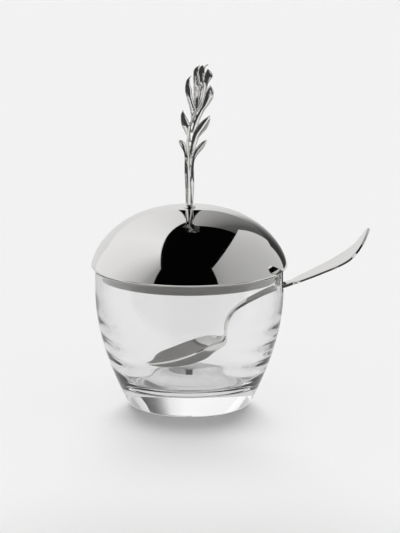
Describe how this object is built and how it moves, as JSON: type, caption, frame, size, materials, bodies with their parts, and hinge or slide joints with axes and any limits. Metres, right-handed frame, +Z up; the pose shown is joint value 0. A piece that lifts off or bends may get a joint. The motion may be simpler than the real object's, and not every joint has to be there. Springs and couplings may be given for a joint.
{
  "type": "jam pot",
  "caption": "Clear glass pot with a thick base and a notched rim, a domed metal lid with a leaf finial, and a long spoon resting in the notch.",
  "frame": {"origin": "centre of the glass pot's foot, on the surface that it stands on", "axes": "+Z up along the pot's axis, +X from the axis out through the notch and along the spoon's handle, +Y to the leaf's back"},
  "size_m": [0.1363, 0.096, 0.1701],
  "materials": {
    "clear_glass": "fire-polished clear glass",
    "polished_silver": "mirror-polished silver plate",
    "plain_brass": "turned brass"
  },
  "bodies": {
    "pot": {"glass_pot": "clear_glass"},
    "lid": {"lid_dome": "polished_silver", "lid_collar": "polished_silver", "leaf_finial": "polished_silver", "finial_foot": "polished_silver", "finial_stud": "plain_brass", "stud_washer": "polished_silver", "cap_nut": "plain_brass"},
    "spoon": {"spoon": "polished_silver"}
  },
  "joints": [
    {"name": "lid_lift", "type": "slide", "parent": "pot", "child": "lid", "axis": [0, 0, 1], "range_m": [0, 0.06]},
    {"name": "spoon_tilt", "type": "hinge", "parent": "pot", "child": "spoon", "pos_m": [0.0432, 0, 0.058], "axis": [0, 1, 0], "range_deg": [0, 12]}
  ]
}
